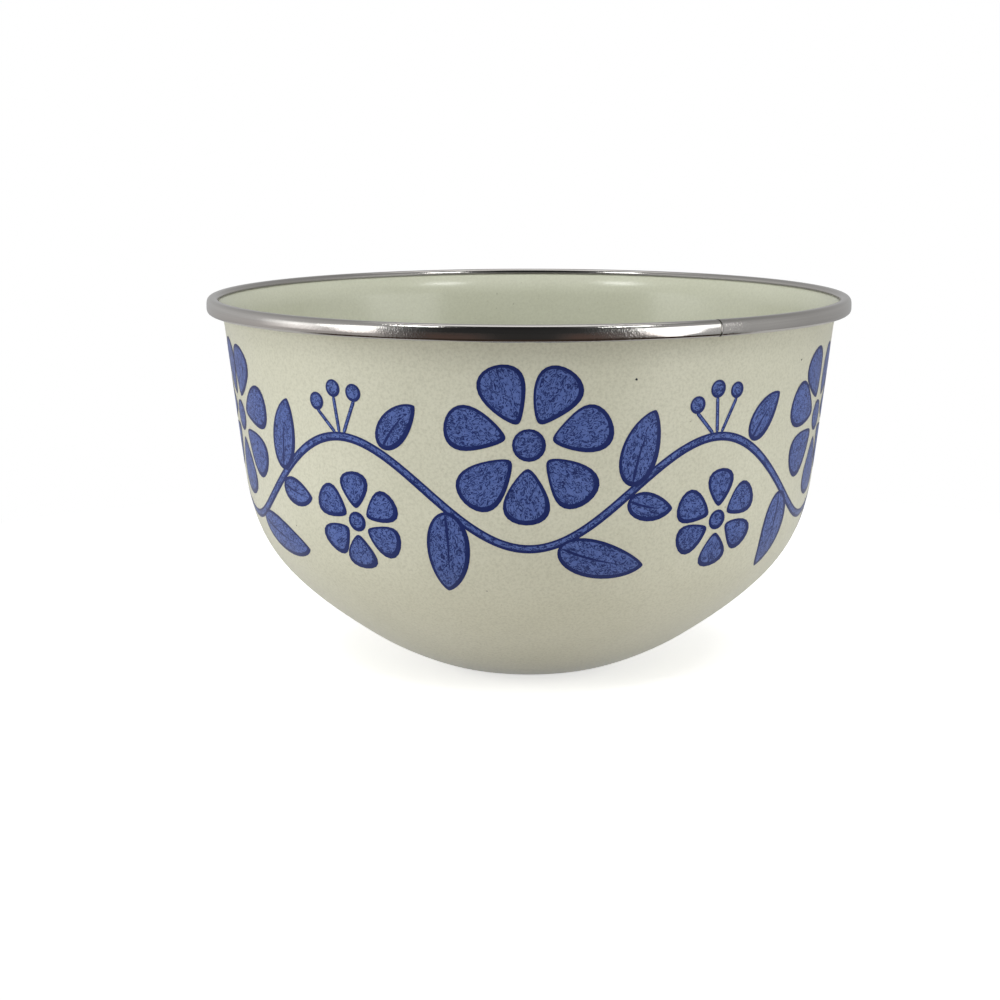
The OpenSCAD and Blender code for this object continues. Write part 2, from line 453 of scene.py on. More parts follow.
# In mm along the rim: where the seam is at mid-height and how far it turns back, half its width there
# and how much wider it gets, and the rough metal beside it
SEAM_BOW, SEAM_BACK = 0.65, -0.8
SEAM_HALF, SEAM_WIDENS = 0.13, 0.30
ROUGH_MIDDLE, ROUGH_HALF = 6.5, 6.0
# In half widths from the middle: where each of the two is gone
SEAM_GONE, ROUGH_GONE = 1.5, 1.3
# In degrees round the rim: the middle and the reach of each dented stretch, which fades over part of it
DENTED, DENT_GONE = [(-20.0, 5.5), (14.0, 6.5)], 1.6
# The painted shadow line along the strip's lower edge inside the bowl: its top, its fade and how far out it
# reaches
EDGE_SHADOW_TOP, EDGE_SHADOW_FADE, EDGE_SHADOW_OUT = 135.0 * MM, 0.2 * MM, 113.6 * MM


def joint_marks(tree, axis):
    """The grimy seam at the joint, bowed to the right at mid-height, and the rough metal beside it."""
    off = math_node(tree, "SUBTRACT", axis.outputs["Turn"], JOINT_TURN)
    off = math_node(tree, "MULTIPLY", off, TRIM_OUT / MM)
    level = math_node(tree, "SUBTRACT", axis.outputs["Height"], FACE_MID)
    level = math_node(tree, "DIVIDE", level, FACE_HALF)
    level_squared = math_node(tree, "MULTIPLY", level, level, clamp=True)
    bow = math_node(tree, "MULTIPLY_ADD", level_squared, SEAM_BACK, SEAM_BOW)
    wide = math_node(tree, "MULTIPLY_ADD", level_squared, SEAM_WIDENS, SEAM_HALF)
    away = math_node(tree, "ABSOLUTE", math_node(tree, "SUBTRACT", off, bow))
    seam = near_middle(tree, away, wide, SEAM_GONE)
    beside = math_node(tree, "ABSOLUTE", math_node(tree, "SUBTRACT", off, ROUGH_MIDDLE))
    rough_zone = near_middle(tree, beside, ROUGH_HALF, ROUGH_GONE)
    return seam, rough_zone


def dent_zone(tree, axis, middle, reach):
    """A stretch of the rim that the rolls have left rough; it fades out at both ends."""
    off = math_node(tree, "SUBTRACT", axis.outputs["Turn"], math.radians(middle))
    return near_middle(tree, math_node(tree, "ABSOLUTE", off), math.radians(reach) / DENT_GONE, DENT_GONE)


def painted_edge_shadow(tree, axis):
    """A painted shadow line along the strip's lower edge, inside the bowl."""
    low = rise_over(tree, EDGE_SHADOW_TOP, axis.outputs["Height"], EDGE_SHADOW_FADE)
    inner = math_node(tree, "LESS_THAN", axis.outputs["Out"], EDGE_SHADOW_OUT)
    return math_node(tree, "MULTIPLY", low, inner)


print("joint at", round(math.degrees(JOINT_TURN), 1), "degrees, dented stretches:", len(DENTED))

# %% Make the stainless finish
ROLL_LINES, LINES_ROUND = 3200.0, 3.0
# The seam's dirt colour, which is also the colour of the painted shade along the strip's lower edge
GRIME_AND_SHADE = srgb(58, 56, 54)
SEAM_DIRT, EDGE_SHADE = 0.9, 0.42
SMOOTHEST = 0.03
DRIFT_DULL, GRAIN_DULL, CUT_DULL, SEAM_AND_EDGE_DULL = 0.10, 0.07, 0.06, 0.45
PATCH_GAIN, LEAST_PITS, CUT_PITS = 4.0, 0.3, 1.2
GRAIN_HEIGHT, LINE_HEIGHT, DENT_HEIGHT = 0.14, 0.10, 3.4
PIT_DEPTH = 0.022 * MM


def rolled_stainless():
    material, tree, shader = start_material("rolled_stainless")
    place = node(tree, "TexCoord").outputs["Object"]
    axis = use_group(tree, round_place)
    tree.links.new(place, axis.inputs["Vector"])
    across = math_node(tree, "ADD", axis.outputs["Height"], axis.outputs["Out"])
    lines_at = node(tree, "CombineXYZ")
    tree.links.new(math_node(tree, "MULTIPLY", axis.outputs["Turn"], LINES_ROUND), lines_at.inputs["X"])
    tree.links.new(math_node(tree, "MULTIPLY", across, ROLL_LINES), lines_at.inputs["Y"])
    lines = node(tree, "TexNoise", {"Scale": 1.0, "Detail": 3.0})
    tree.links.new(lines_at.outputs[0], lines.inputs["Vector"])
    grain = node(tree, "TexNoise", {"Scale": 1700.0, "Detail": 2.0})
    pits = node(tree, "TexNoise", {"Scale": 760.0, "Detail": 2.0, "Roughness": 0.55})
    drift = node(tree, "TexNoise", {"Scale": 34.0, "Detail": 2.0})
    dents = node(tree, "TexNoise", {"Scale": 1900.0, "Detail": 1.0})
    for noise_node in (grain, pits, drift, dents):
        tree.links.new(place, noise_node.inputs["Vector"])
    seam, rough_zone = joint_marks(tree, axis)
    # A painted shadow line along the strip's lower edge inside the bowl
    edge_shadow = painted_edge_shadow(tree, axis)
    dented = rough_zone
    for middle, reach in DENTED:
        dented = math_node(tree, "ADD", dented, dent_zone(tree, axis, middle, reach), clamp=True)
    rough = math_node(tree, "MULTIPLY_ADD", drift.outputs["Fac"], DRIFT_DULL, SMOOTHEST)
    rough = math_node(tree, "MULTIPLY_ADD", grain.outputs["Fac"], GRAIN_DULL, rough)
    rough = math_node(tree, "MULTIPLY_ADD", rough_zone, CUT_DULL, rough)
    rough = math_node(tree, "MULTIPLY_ADD", math_node(tree, "MAXIMUM", seam, edge_shadow), SEAM_AND_EDGE_DULL, rough)
    tree.links.new(rough, shader.inputs["Roughness"])
    colour = blend_colours(tree, lines.outputs["Fac"], srgb(198, 195, 191), srgb(214, 211, 207))
    seam_dirt = math_node(tree, "MULTIPLY", seam, SEAM_DIRT)
    # The line along the lower edge is painted shade
    edge_shade = math_node(tree, "MULTIPLY", edge_shadow, EDGE_SHADE)
    colour = blend_colours(tree, math_node(tree, "MAXIMUM", seam_dirt, edge_shade), colour, GRIME_AND_SHADE)
    tree.links.new(colour, shader.inputs["Base Color"])
    patch_from = 0.5 - PATCH_GAIN / 2
    patches = math_node(tree, "MULTIPLY_ADD", drift.outputs["Fac"], PATCH_GAIN, patch_from, clamp=True)
    patches = math_node(tree, "MULTIPLY_ADD", patches, 1 - LEAST_PITS, LEAST_PITS)
    patches = math_node(tree, "ADD", patches, math_node(tree, "MULTIPLY", rough_zone, CUT_PITS))
    height = math_node(tree, "MULTIPLY", pits.outputs["Fac"], patches)
    height = math_node(tree, "MULTIPLY_ADD", grain.outputs["Fac"], GRAIN_HEIGHT, height)
    height = math_node(tree, "MULTIPLY_ADD", lines.outputs["Fac"], LINE_HEIGHT, height)
    over_half = math_node(tree, "SUBTRACT", dents.outputs["Fac"], 0.5, clamp=True)
    deep = math_node(tree, "MULTIPLY", over_half, dented)
    height = math_node(tree, "MULTIPLY_ADD", deep, DENT_HEIGHT, height)
    bump = node(tree, "Bump", {"Strength": 1.0, "Distance": PIT_DEPTH})
    tree.links.new(height, bump.inputs["Height"])
    tree.links.new(bump.outputs["Normal"], shader.inputs["Normal"])
    shader.inputs["Metallic"].default_value = 1.0
    return material


stainless = rolled_stainless()
print("material:", stainless.name)

# %% Dress the solids
def dress(name, material):
    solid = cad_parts[name]
    solid.data.materials.clear()
    solid.data.materials.append(material)


dress("steel_shell", sheet_steel)
dress("ground_coat", ground_coat)
dress("enamel_outside", outside_cream)
dress("enamel_inside", inside_cream)
dress("rim_trim", stainless)
print("dressed:", ", ".join(sorted(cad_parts)))

# %% [markdown]
# Finding the wall
#
# The print and the specks lie on the outside face. The face is a surface of revolution, so one line, the
# outline from the foot to the lip, says all about it. The line is read back from the solid: of all its
# points, those on the outer hull belong to the outside face. Lengths are then measured along that line.

# %% Read the outline from the solid
WALL_TOP = 125.5 * MM


def read_outline(solid, below):
    """Heights and radii of the outer hull of a turned solid, up to a height."""
    rings = {}
    for vertex in solid.data.vertices:
        height = round(vertex.co.z, 7)
        rings[height] = max(rings.get(height, 0.0), math.hypot(vertex.co.x, vertex.co.y))
    hull = []
    for height, radius in sorted(rings.items()):
        if height > below and hull and hull[-1][0] > below:
            break
        while len(hull) > 1:
            (h0, r0), (h1, r1) = hull[-2:]
            if (r1 - r0) * (height - h0) > (radius - r0) * (h1 - h0):
                break
            hull.pop()
        hull.append((height, radius))
    return hull


outline = read_outline(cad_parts["enamel_outside"], WALL_TOP)
arc = [0.0]
for (h0, r0), (h1, r1) in zip(outline, outline[1:]):
    arc.append(arc[-1] + math.hypot(h1 - h0, r1 - r0))
print("outline points:", len(outline), "length in mm:", round(arc[-1] / MM, 1))

# %% Lay a point on the wall
def wall_at(along):
    """Radius, height and outward direction of the wall at a length along its outline."""
    at = max(1, min(len(arc) - 1, next((i for i, a in enumerate(arc) if a >= along), len(arc) - 1)))
    (h0, r0), (h1, r1) = outline[at - 1], outline[at]
    run = arc[at] - arc[at - 1]
    t = (along - arc[at - 1]) / run
    return r0 + (r1 - r0) * t, h0 + (h1 - h0) * t, ((h1 - h0) / run, -(r1 - r0) / run)


def along_at_height(height):
    for i in range(1, len(outline)):
        if outline[i][0] >= height:
            t = (height - outline[i - 1][0]) / (outline[i][0] - outline[i - 1][0])
            return arc[i - 1] + (arc[i] - arc[i - 1]) * t
    return arc[-1]


def on_wall(turn, along, lift):
    radius, height, (out_r, out_z) = wall_at(along)
    radius, height = radius + lift * out_r, height + lift * out_z
    return Vector((radius * math.sin(turn), -radius * math.cos(turn), height))


print("radius at 84 mm:", round(wall_at(along_at_height(84 * MM))[0] / MM, 2))

# %% [markdown]
# The print
#
# Enamel is printed with a transfer: blue glass colours on a film, slid onto the wall and fired in. It lies a
# few hundredths of a millimetre proud, with crisp edges. A picture could not be used here, and a pattern made
# only in the shader would blur when it is baked, so every petal and leaf is a thin mesh laid on the wall.
# The design is a plain running vine: a wavy stem with daisies, small florets, leaves and berries, five times
# round the bowl. Leaves have a dark vein.
#
# Each shape is a blade: a bent spine with a width that swells and narrows. The dark line is the ring between
# the blade and a slightly smaller one inside it, and the small one is the blue fill.

# %% Blades: a spine and a width
LINE = 1.4
LINE_SHIFT, CLOSED_SHIFT = (-0.28, 0.30), (0.0, 0.18)
CELLS = 5
STEM_HEIGHT = 82 * MM
stem_along = along_at_height(STEM_HEIGHT)
stem_radius = wall_at(stem_along)[0]
CELL = math.tau * stem_radius / MM / CELLS
# How wide a blade is at each share of its length, as a share of its widest place
PETAL_FOOT, PETAL_SWELLS, PETAL_WIDEST = 0.34, 0.66, 0.745
LEAF_TAPER, LEAF_WIDEST = 0.72, 0.452
STROKE_BLUNT = 1.9


def round_width(t):
    return math.sqrt(max(0.0, 4 * t * (1 - t)))


def petal_width(t):
    return round_width(t) * (PETAL_FOOT + PETAL_SWELLS * t) / PETAL_WIDEST


def leaf_width(t):
    return math.sqrt(max(0.0, t)) * max(0.0, 1 - t) ** LEAF_TAPER / LEAF_WIDEST


def stroke_width(t):
    return min(1.0, round_width(t) * STROKE_BLUNT)


SPINE_STEPS = 12


def bent_spine(base, angle, length, turn):
    """A point and a heading for each share of the way along a spine that turns evenly."""
    def at(t):
        x, y = base
        for i in range(SPINE_STEPS):
            heading = angle + turn * t * (i + 0.5) / SPINE_STEPS
            x += math.cos(heading) * length * t / SPINE_STEPS
            y += math.sin(heading) * length * t / SPINE_STEPS
        return (x, y), angle + turn * t
    return at


print("cell width in mm:", round(CELL, 1))

# %% Two sheets to collect the faces on
class Sheet:
    """Faces in the flat, in mm. Each point has the place it is anchored to and its level over the wall."""

    def __init__(self):
        self.points, self.faces, self.stroke = [], [], []

    def add(self, x, y, anchor, level, stroke=(0.0, 0.0, 0.0)):
        self.points.append((x, y, anchor, level))
        self.stroke.append(stroke)
        return len(self.points) - 1


dark_sheet, fill_sheet = Sheet(), Sheet()
print("points so far:", len(dark_sheet.points) + len(fill_sheet.points))

# %% Draw one blade as two strips of faces
LEVEL_STEM, LEVEL_SHAPE, LEVEL_VEIN = 0.0, 0.012, 0.024
LEAST_ROWS, ROW_LENGTH, COLUMN_WIDTH = 10, 1.4, 1.6
VEIN_ROWS = 14
VEIN_FOOT, VEIN_OPENS, VEIN_TAPER = 0.3, 6, 0.6
# How far the engraving's noise moves on from one blade to the next, so that no two are alike
STROKE_STEP = 17.3
blade_count = 0


def blade_rows(spine, half, profile, shares, inset, columns, shift):
    """Points across the blade at each share of its spine."""
    for t in shares:
        along = inset + (1 - 2 * inset) * t
        (x, y), heading = spine(along)
        side = (-math.sin(heading), math.cos(heading))
        wide = half * profile(t)
        row = [wide * (1 - 2 * j / columns) for j in range(columns + 1)]
        yield along, [(x + shift[0] + side[0] * w, y + shift[1] + side[1] * w, w) for w in row]


def draw_blade(spine, half, profile, anchor, length, line=LINE, level=LEVEL_SHAPE, closed=False, rows=None):
    """A dark ring with a blue core. A closed blade has no ends: its line runs along both sides only."""
    global blade_count
    blade_count += 1
    own_stroke = blade_count * STROKE_STEP
    rows = rows or max(LEAST_ROWS, round(length / ROW_LENGTH))
    columns = max(2, 2 * round(half / COLUMN_WIDTH))
    shares = [i / rows if closed else (1 - math.cos(math.pi * i / rows)) / 2 for i in range(rows + 1)]
    inset = 0.0 if closed else line / length
    thin = line / LINE
    shift = CLOSED_SHIFT if closed else (LINE_SHIFT[0] * thin, LINE_SHIFT[1] * thin)
    core = max(0.0, half - line)
    rim_rows = list(blade_rows(spine, half, profile, shares, 0.0, 1, (0.0, 0.0)))
    edge_rows = list(blade_rows(spine, core, profile, shares, inset, 1, shift))
    rim_ids = [[dark_sheet.add(x, y, anchor, level) for x, y, w in row] for _, row in rim_rows]
    edge_ids = [[dark_sheet.add(x, y, anchor, level) for x, y, w in row] for _, row in edge_rows]
    for i in range(rows):
        for k in (0, 1):
            quad = (rim_ids[i][k], rim_ids[i + 1][k], edge_ids[i + 1][k], edge_ids[i][k])
            dark_sheet.faces.append(quad if k else quad[::-1])
    grid = [
        [fill_sheet.add(x, y, anchor, level, (along * length, w, own_stroke)) for x, y, w in row]
        for along, row in blade_rows(spine, core, profile, shares, inset, columns, shift)
    ]
    for i in range(rows):
        for j in range(columns):
            fill_sheet.faces.append((grid[i][j], grid[i][j + 1], grid[i + 1][j + 1], grid[i + 1][j]))


def draw_vein(spine, half, anchor, start, stop):
    """A dark sliver along the middle of a blade, from one share of its spine to another."""
    shares = [i / VEIN_ROWS for i in range(VEIN_ROWS + 1)]
    ids = []
    for t in shares:
        (x, y), heading = spine(start + (stop - start) * t)
        side = (-math.sin(heading), math.cos(heading))
        wide = half * (1 - t) ** VEIN_TAPER * min(1.0, VEIN_OPENS * t + VEIN_FOOT)
        edge_x, edge_y = side[0] * wide, side[1] * wide
        ids.append([dark_sheet.add(x + edge_x * k, y + edge_y * k, anchor, LEVEL_VEIN) for k in (1, -1)])
    for i in range(VEIN_ROWS):
        dark_sheet.faces.append((ids[i][0], ids[i][1], ids[i + 1][1], ids[i + 1][0]))


print("levels over the wall in mm:", LEVEL_STEM, LEVEL_SHAPE, LEVEL_VEIN)

# %% [markdown]
# The vine
#
# A running border reads well when big shapes alternate with small ones. Each cell has a daisy over the dip
# of the stem and a hanging floret under its crest, three berries on stalks over the crest, and leaves that
# turn away from the stem between them. Seeded random numbers make each shape a little unlike its neighbour,
# as a brush does.

# %% The stem and its motifs
wobble = random.Random(11)


def jitter(amount):
    return wobble.uniform(-amount, amount)


STEM_MIDDLE, STEM_SWING = -4.0, 18.0
LEAF_OFF_STEM = 1.9
VEIN_HALF, VEIN_FROM, VEIN_TO = 0.55, 0.04, 0.72
HUB_LINE = 1.15
# How far a petal's direction and bend stray, in radians, and its length and width, as a share
AIM_STRAYS, BEND_STRAYS, SIZE_STRAYS = 0.06, 0.22, 0.05


def stem_y(x):
    return STEM_MIDDLE - STEM_SWING * math.cos(math.tau * x / CELL)


def stem_heading(x):
    return math.atan2(STEM_SWING * math.tau / CELL * math.sin(math.tau * x / CELL), 1.0)


def draw_disc(x, y, radius, anchor, line, rows=None):
    spine = bent_spine((x - radius, y), 0.0, 2 * radius, 0.0)
    draw_blade(spine, radius, round_width, anchor, 2 * radius, line=line, rows=rows)


def draw_daisy(x, y, petals, hub, reach, width, hub_radius, start=0.25):
    for i in range(petals):
        angle = math.tau * (i + start) / petals + jitter(AIM_STRAYS)
        base = (x + hub * math.cos(angle), y + hub * math.sin(angle))
        length = (reach - hub) * (1 + jitter(SIZE_STRAYS))
        spine = bent_spine(base, angle, length, jitter(BEND_STRAYS))
        draw_blade(spine, width / 2 * (1 + jitter(SIZE_STRAYS)), petal_width, x, length)
    draw_disc(x, y, hub_radius, x, line=HUB_LINE)


def draw_leaf(x, side, tilt, length, width, turn):
    heading = stem_heading(x) + side * math.radians(tilt)
    base = (x + LEAF_OFF_STEM * math.cos(heading), stem_y(x) + LEAF_OFF_STEM * math.sin(heading))
    spine = bent_spine(base, heading, length, -side * math.radians(turn))
    draw_blade(spine, width / 2, leaf_width, x, length)
    draw_vein(spine, VEIN_HALF, x, VEIN_FROM, VEIN_TO)


print("stem swings by", STEM_SWING, "mm")

# %% Strokes and the stem
STROKE_ROW = 2.0


def draw_stroke(path, half, line):
    """A stroke along a list of points, as a blade whose spine is that list."""
    def at(t):
        place = t * (len(path) - 1)
        i = min(int(place), len(path) - 2)
        k = place - i
        (x0, y0), (x1, y1) = path[i], path[i + 1]
        before, after = path[max(0, i - 1)], path[min(len(path) - 1, i + 2)]
        heading = math.atan2(after[1] - before[1], after[0] - before[0])
        return (x0 + (x1 - x0) * k, y0 + (y1 - y0) * k), heading
    length = sum(math.dist(a, b) for a, b in zip(path, path[1:]))
    rows = max(LEAST_ROWS, round(length / STROKE_ROW))
    draw_blade(at, half, stroke_width, None, length, line=line, level=LEVEL_STEM, rows=rows)


def draw_stem(half, line, rows):
    """The stem all the way round, with its ends at the back and its true heading at each row."""
    start, length = CELL * CELLS / 2, CELL * CELLS

    def at(t):
        x = start + length * t
        return (x, stem_y(x)), stem_heading(x)
    draw_blade(at, half, lambda t: 1.0, None, length, line=line, level=LEVEL_STEM, closed=True, rows=rows)


print("once round in mm:", round(CELL * CELLS, 1))

# %% Draw the vine, cell by cell
# In mm: how far up the middles of daisy and floret lie, and how far the floret's is past the crest
DAISY_UP, FLORET_UP, FLORET_ALONG = 14.0, -15.5, 3.6
# A leaf in mm and degrees: how far along, side of the stem, tilt, length, width and bend
DIP_LEAVES = [(8.5, -1, 46, 30, 15.0, 24), (34.5, 1, 42, 27, 14.0, 16), (32.0, -1, 66, 16, 10.5, 26)]
CREST_LEAVES = [(15.5, 1, 92, 21, 11.5, 26), (37.5, -1, 44, 30, 15.5, -18)]
# A berry in mm: how far along from the crest, and how far over it
BERRIES = [(-9.5, 11.5), (-1.5, 16.5), (7.0, 15.5)]
BERRY_RADIUS, BERRY_LINE = 3.0, 0.9
STALK_HALF, STALK_LINE, STALK_STEPS = 0.7, 0.35, 6
STALK_SHORT, STALK_GATHERED, STALK_OFF_STEM = 2.4, 0.2, 1.0
LEAF_STRAYS, BERRY_STRAYS = 1, 0.25

for cell in range(CELLS):
    dip = CELL * cell
    crest = dip + CELL / 2
    draw_daisy(dip, DAISY_UP, petals=7, hub=8.0, reach=28.5, width=16.6, hub_radius=5.6)
    floret = (crest + FLORET_ALONG, FLORET_UP)
    draw_daisy(*floret, petals=6, hub=4.8, reach=18.0, width=12.0, hub_radius=3.6, start=0.5)
    for middle, leaves in ((dip, DIP_LEAVES), (crest, CREST_LEAVES)):
        for along, side, tilt, length, width, turn in leaves:
            draw_leaf(middle + along, side, tilt, length + jitter(LEAF_STRAYS), width, turn)
    for dx, dy in BERRIES:
        tip = (crest + dx, stem_y(crest) + dy - STALK_SHORT)
        foot = (crest + dx * STALK_GATHERED, stem_y(crest) + STALK_OFF_STEM)
        steps = range(STALK_STEPS + 1)
        stalk = [tuple(foot[k] + (tip[k] - foot[k]) * i / STALK_STEPS for k in (0, 1)) for i in steps]
        draw_stroke(stalk, STALK_HALF, STALK_LINE)
        radius = BERRY_RADIUS + jitter(BERRY_STRAYS)
        draw_disc(crest + dx, stem_y(crest) + dy, radius, crest, BERRY_LINE, rows=12)
draw_stem(half=1.55, line=0.85, rows=400)
print("blades:", blade_count)

# %% [markdown]
# From the flat to the wall
#
# A flat drawing has to go round a cone and over the knee of the bowl. A printer cuts and eases the film to
# do it. A modifier could wrap the sheets round, but it would squeeze the low shapes, where the wall is
# narrower. So each point is placed by a short sum: its height is laid along the outline and its width round
# the axis, and near its anchor a shape keeps its true width, whatever the radius there.

# %% Fold the sheets onto the wall
PRINT_LIFT = 0.03 * MM


def add_piece(name, points, faces, material, stroke=None):
    """A piece of points and faces that rides on the bowl. A stroke is a point's place in its own blade."""
    mesh = bpy.data.meshes.new(name)
    mesh.from_pydata(points, [], faces)
    if stroke:
        own = mesh.attributes.new("stroke", "FLOAT_VECTOR", "POINT")
        own.data.foreach_set("vector", [c for place in stroke for c in place])
    mesh.materials.append(material)
    mesh.validate()
    piece = bpy.data.objects.new(name, mesh)
    bpy.context.scene.collection.objects.link(piece)
    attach(piece, "root")
    print(name, "faces:", len(mesh.polygons))
    return piece


def fold_sheet(name, sheet, material):
    places = []
    for x, y, anchor, level in sheet.points:
        along = stem_along + y * MM
        radius = wall_at(along)[0]
        if anchor is None:
            turn = x * MM / stem_radius
        else:
            turn = anchor * MM / stem_radius + (x - anchor) * MM / radius
        places.append(on_wall(turn, along, PRINT_LIFT + level * MM))
    smooth(add_piece(name, places, sheet.faces, material, sheet.stroke))


print("print over the wall in mm:", PRINT_LIFT / MM)

# %% [markdown]
# Two blues
#
# The line colour is a deep blue and the fill a lighter one, worked over with short dark strokes like a
# wood engraving. The strokes follow each blade, so the fill carries its own coordinates, in millimetres
# along the blade and across it. A band of a stretched noise gives thin wandering lines, and a second noise
# breaks them up.

# %% Make the print colours
DEEP_BLUE = srgb(16, 30, 84)
DEEP_BLUE_THIN = srgb(30, 44, 102)
FILL_BLUE = srgb(68, 88, 150)
FILL_BLUE_PALE = srgb(92, 112, 172)
PRINT_SHINE = 0.32
PRINT_DULL, PRINT_DULL_DRIFT = 0.28, 0.1
STROKE_STRETCH = (0.42, 0.72, 1.0)
STROKE_BAND, STROKE_EDGE, STROKE_STRENGTH = 0.052, 0.02, 0.95
BREAKS_PER_MM, BREAK_GAIN, BREAK_FROM = 0.55, 9.0, -2.7


def start_print(name, per_metre):
    """A material for printed glass, and the slow noise that its tone and its gloss drift with."""
    material, tree, shader = start_material(name)
    body = node(tree, "TexNoise", {"Scale": per_metre, "Detail": 2.0})
    tree.links.new(node(tree, "TexCoord").outputs["Object"], body.inputs["Vector"])
    drift = body.outputs["Fac"]
    rough = math_node(tree, "MULTIPLY_ADD", drift, PRINT_DULL_DRIFT, PRINT_DULL)
    tree.links.new(rough, shader.inputs["Roughness"])
    shader.inputs["Specular IOR Level"].default_value = PRINT_SHINE
    return material, tree, shader, drift


def line_blue():
    material, tree, shader, drift = start_print("print_line_blue", per_metre=700.0)
    colour = blend_colours(tree, drift, DEEP_BLUE, DEEP_BLUE_THIN)
    tree.links.new(colour, shader.inputs["Base Color"])
    return material


def fill_blue():
    material, tree, shader, drift = start_print("print_fill_blue", per_metre=500.0)
    stroke = node(tree, "Attribute", attribute_name="stroke").outputs["Vector"]
    stretch = node(tree, "VectorMath", operation="MULTIPLY")
    tree.links.new(stroke, stretch.inputs[0])
    stretch.inputs[1].default_value = STROKE_STRETCH
    wander = node(tree, "TexNoise", {"Scale": 1.0, "Detail": 3.0, "Roughness": 0.6, "Distortion": 1.3})
    tree.links.new(stretch.outputs[0], wander.inputs["Vector"])
    off = math_node(tree, "ABSOLUTE", math_node(tree, "SUBTRACT", wander.outputs["Fac"], 0.5))
    thin = rise_over(tree, STROKE_BAND, off, STROKE_EDGE)
    breaks = node(tree, "TexNoise", {"Scale": BREAKS_PER_MM, "Detail": 2.0})
    tree.links.new(stroke, breaks.inputs["Vector"])
    gate = math_node(tree, "MULTIPLY_ADD", breaks.outputs["Fac"], BREAK_GAIN, BREAK_FROM, clamp=True)
    mask = math_node(tree, "MULTIPLY", math_node(tree, "MULTIPLY", thin, gate), STROKE_STRENGTH)
    colour = blend_colours(tree, drift, FILL_BLUE, FILL_BLUE_PALE)
    colour = blend_colours(tree, mask, colour, DEEP_BLUE)
    tree.links.new(colour, shader.inputs["Base Color"])
    return material


fold_sheet("print_line", dark_sheet, line_blue())
fold_sheet("print_fill", fill_sheet, fill_blue())

# %% [markdown]
# Small marks of making
#
# Here and there the cover coat has a pinhole and the dark ground coat comes up through it. A shader could
# scatter them, but each has a place of its own, so they are small ragged discs in the ground coat's own
# glass. The trim has a mark too: where its ends meet, the cut has left a jagged burr on the right-hand end.
# It stands about a tenth of a millimetre over the strip and catches the light, so it is a real edge.

# %% Pinholes
SPECK_LIFT = 0.012 * MM
SPECK_CORNERS, SPECK_RAGGED = 9, (0.7, 1.15)
# Turn in degrees, height and radius in mm
SPECKS = [
    (18.6, 117.2, 0.42), (58.7, 118.3, 0.38), (-52.0, 61.0, 0.24), (-8.5, 44.5, 0.20), (97.0, 88.0, 0.36),
    (131.0, 34.0, 0.30), (176.0, 101.0, 0.40), (-118.0, 73.0, 0.28), (-151.0, 112.0, 0.34),
]
ragged = random.Random(5)


def make_specks():
    points, faces = [], []
    for turn, height, radius in SPECKS:
        along = along_at_height(height * MM)
        middle = math.radians(turn)
        first = len(points)
        points.append(on_wall(middle, along, SPECK_LIFT * 2))
        for i in range(SPECK_CORNERS):
            angle, reach = math.tau * i / SPECK_CORNERS, radius * MM * ragged.uniform(*SPECK_RAGGED)
            wide = reach * math.cos(angle) / wall_at(along)[0]
            points.append(on_wall(middle + wide, along + reach * math.sin(angle), SPECK_LIFT))
            faces.append((first, first + 1 + i, first + 1 + (i + 1) % SPECK_CORNERS))
    return add_piece("pinholes", points, faces, ground_coat)


smooth(make_specks())

# %% The burr at the joint
BURR_FOOT, BURR_START = 131.0 * MM, 0.17 * MM
BURR_RISE, BURR_SUNK = 0.11 * MM, -0.01 * MM
BURR_WIDTHS = (0.3, 0.5, 0.9, 1.5)
BURR_WIDTH_STRAYS, BURR_RISE_STRAYS = (0.8, 1.2), (0.5, 1.0)
BURR_SHOULDER, BURR_PEAK = 0.6, 0.45
BURR_STEPS = 34


def make_burr():
    face = [(h, r) for h, r in read_outline(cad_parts["rim_trim"], math.inf) if h > BURR_FOOT]
    points, faces = [], []
    for i in range(BURR_STEPS + 1):
        place = i / BURR_STEPS * (len(face) - 1)
        k = min(int(place), len(face) - 2)
        (h0, r0), (h1, r1) = face[k], face[k + 1]
        height, radius = h0 + (h1 - h0) * (place - k), r0 + (r1 - r0) * (place - k)
        wide = MM * ragged.choice(BURR_WIDTHS) * ragged.uniform(*BURR_WIDTH_STRAYS)
        rise = BURR_RISE * ragged.uniform(*BURR_RISE_STRAYS)
        shoulder, peak = (rise * BURR_SHOULDER, 0.0), (rise, wide * BURR_PEAK)
        for out, shift in ((BURR_SUNK, 0.0), shoulder, peak, (BURR_SUNK, wide)):
            turn = JOINT_TURN + (BURR_START + shift) / radius
            points.append(((radius + out) * math.sin(turn), -(radius + out) * math.cos(turn), height))
    for i in range(BURR_STEPS):
        for j in (0, 1, 2):
            a = 4 * i + j
            faces.append((a, a + 1, a + 5, a + 4))
    add_piece("joint_burr", points, faces, stainless)


make_burr()

# %% [markdown]
# The studio
#
# The photo was taken in a small light tent: white sides that glow, an open front that stays dark, and lamps
# above. Enamel only needs soft light from both sides. The bright strip needs more, because it shows the
# whole room. So the world is painted by direction for what the metal reflects: dark in front with something
# brown low down, a white panel at each front corner whose lower edge is not level, grey walls, and a pale
# ceiling only near the top.

# %% Camera
CAMERA_BACK, CAMERA_UP = 0.900, 0.21529
CAMERA_DOWN = math.radians(9.84)
lens = bpy.data.cameras.new("camera")
lens.lens, lens.sensor_width = 88.30, 36.0
lens.shift_x = -0.0290
lens.clip_start, lens.clip_end = 0.01, 50.0
camera = bpy.data.objects.new("camera", lens)
camera.location = (0.0, -CAMERA_BACK, CAMERA_UP)
camera.rotation_euler = (math.pi / 2 - CAMERA_DOWN, 0.0, 0.0)
bpy.context.scene.collection.objects.link(camera)
bpy.context.scene.camera = camera
bpy.context.scene.view_settings.view_transform = "Standard"
print("camera:", [round(c, 3) for c in camera.location], "lens:", lens.lens)

